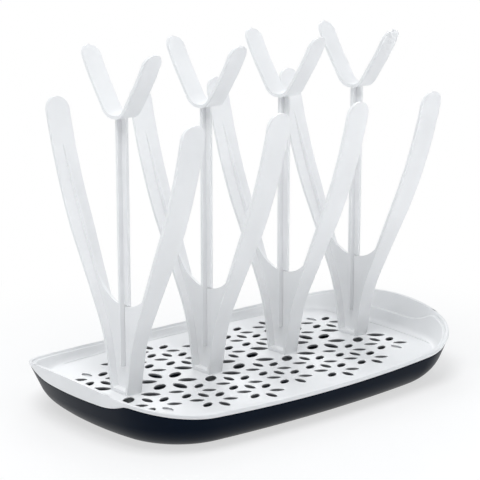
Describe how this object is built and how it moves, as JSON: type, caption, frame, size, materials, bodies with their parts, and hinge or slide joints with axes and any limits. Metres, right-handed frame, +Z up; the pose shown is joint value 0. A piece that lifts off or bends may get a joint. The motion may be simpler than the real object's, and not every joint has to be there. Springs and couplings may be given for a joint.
{
  "type": "bottle drying rack",
  "caption": "Bottle drying rack: a row of plug-in forked supports on a perforated drain tray that lies in a deep drip tray with rounded edges.",
  "frame": {"origin": "middle of the footprint, on the surface the rack stands on", "axes": "+X along the row of supports, +Y to the back, +Z up"},
  "size_m": [0.354, 0.2096, 0.2855],
  "materials": {
    "white_plastic": "satin",
    "navy_plastic": "satin"
  },
  "bodies": {
    "root": {"drip_tray": "navy_plastic", "drain_tray": "white_plastic", "support_arms_1": "white_plastic", "support_arms_2": "white_plastic", "support_arms_3": "white_plastic", "support_arms_4": "white_plastic", "support_mast_1": "white_plastic", "support_mast_2": "white_plastic", "support_mast_3": "white_plastic", "support_mast_4": "white_plastic"}
  },
  "joints": []
}
